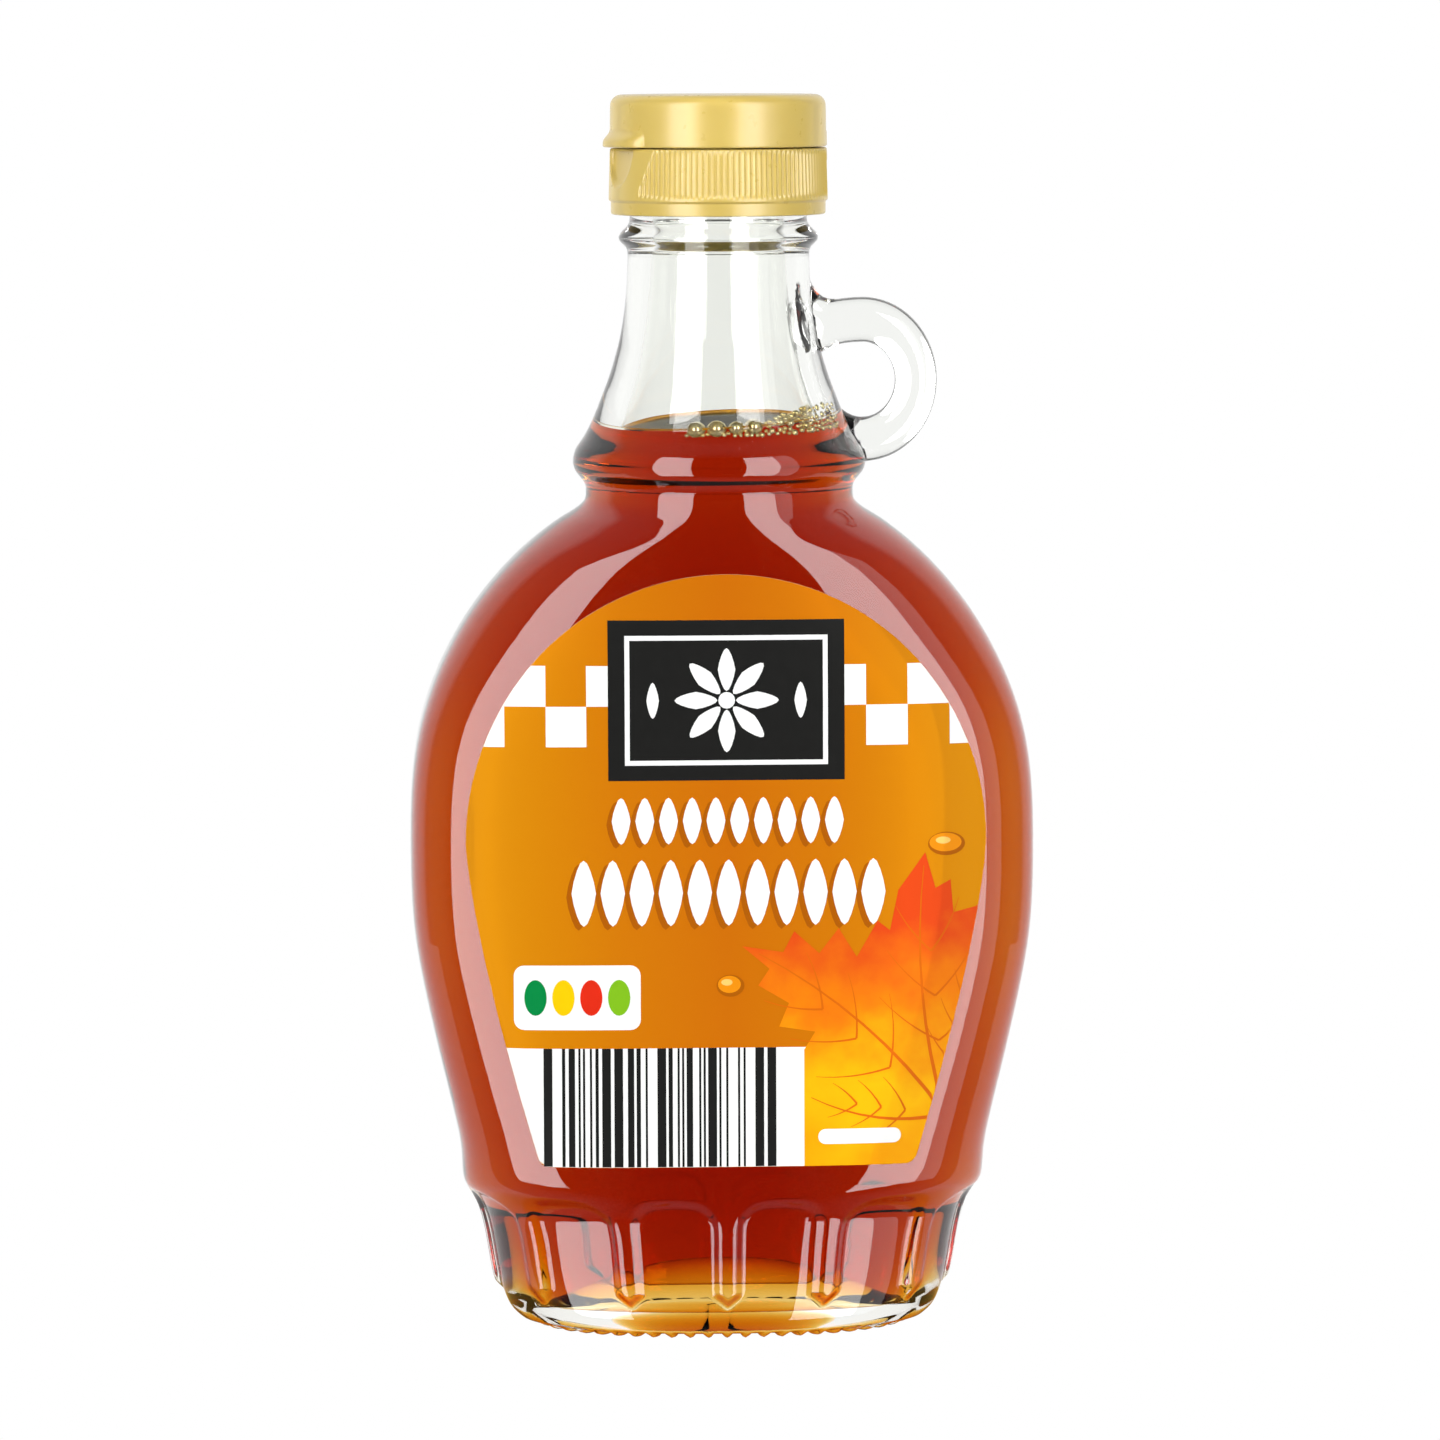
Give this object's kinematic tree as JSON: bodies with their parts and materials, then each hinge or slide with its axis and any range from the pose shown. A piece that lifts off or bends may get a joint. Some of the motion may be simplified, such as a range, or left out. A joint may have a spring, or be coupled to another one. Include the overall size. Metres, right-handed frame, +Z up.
{
  "type": "maple syrup bottle",
  "caption": "Oval glass syrup flask with a small ring handle on its neck, an arched front label, a ribbed flip-top cap and amber syrup inside.",
  "frame": {"origin": "middle of the base, on the plane the bottle stands on", "axes": "+Z up along the neck; +X to the handle, which is the right side seen from the front; -Y towards the viewer, where the front label faces"},
  "size_m": [0.0908, 0.0432, 0.1797],
  "materials": {
    "glass": "clear polished glass, very faintly green",
    "syrup": "clear dark amber liquid",
    "label": "satin coated print",
    "cap": "satin gold plastic"
  },
  "bodies": {
    "bottle": {"bottle_glass": "glass", "syrup": "syrup", "front_label": "label", "back_label": "label", "cap_body": "cap"},
    "lid": {"cap_lid": "cap"}
  },
  "joints": [
    {"name": "lid_hinge", "type": "hinge", "parent": "bottle", "child": "lid", "pos_m": [0.01527, 0.00556, 0.17215], "axis": [-0.342, 0.9397, 0], "range_deg": [0, 130]}
  ]
}
